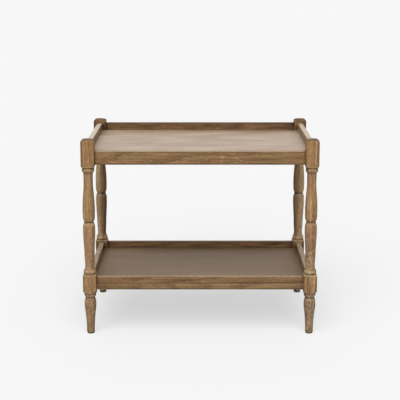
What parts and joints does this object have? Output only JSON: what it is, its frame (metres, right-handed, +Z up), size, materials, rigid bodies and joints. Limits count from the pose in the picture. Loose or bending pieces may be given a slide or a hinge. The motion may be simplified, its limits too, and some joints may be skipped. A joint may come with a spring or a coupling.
{
  "type": "two-tier butlers tray table",
  "caption": "Two-tier wooden tray table: turned legs with square blocks carry a tray top with a raised gallery, open at the front, and a low-lipped shelf below.",
  "frame": {"origin": "on the floor, under the middle of the table", "axes": "+Z up, X along the front, -Y towards the open front of the tray"},
  "size_m": [0.8, 0.5, 0.6825],
  "materials": {
    "leg_wood": "weathered oak brown, satin",
    "rail_wood": "weathered oak brown, satin",
    "panel_wood": "weathered oak brown, satin",
    "hidden_wood": "bare softwood",
    "glide_plastic": "dark moulded",
    "screw_steel": "zinc plated"
  },
  "bodies": {
    "root": {"leg_front_left": "leg_wood", "glide_front_left": "glide_plastic", "leg_front_right": "leg_wood", "glide_front_right": "glide_plastic", "leg_back_left": "leg_wood", "glide_back_left": "glide_plastic", "leg_back_right": "leg_wood", "glide_back_right": "glide_plastic", "glide_nails": "screw_steel", "top_front_rail": "rail_wood", "shelf_front_lip": "rail_wood", "tray_front_cleat": "hidden_wood", "top_back_rail": "rail_wood", "shelf_back_lip": "rail_wood", "tray_back_cleat": "hidden_wood", "top_left_rail": "rail_wood", "shelf_left_lip": "rail_wood", "tray_left_cleat": "hidden_wood", "top_right_rail": "rail_wood", "shelf_right_lip": "rail_wood", "tray_right_cleat": "hidden_wood", "top_panel": "panel_wood", "shelf_board": "panel_wood", "shelf_dowels": "hidden_wood", "cleat_rail_screws": "screw_steel", "cleat_panel_screws": "screw_steel", "shelf_lip_screws": "screw_steel"}
  },
  "joints": []
}
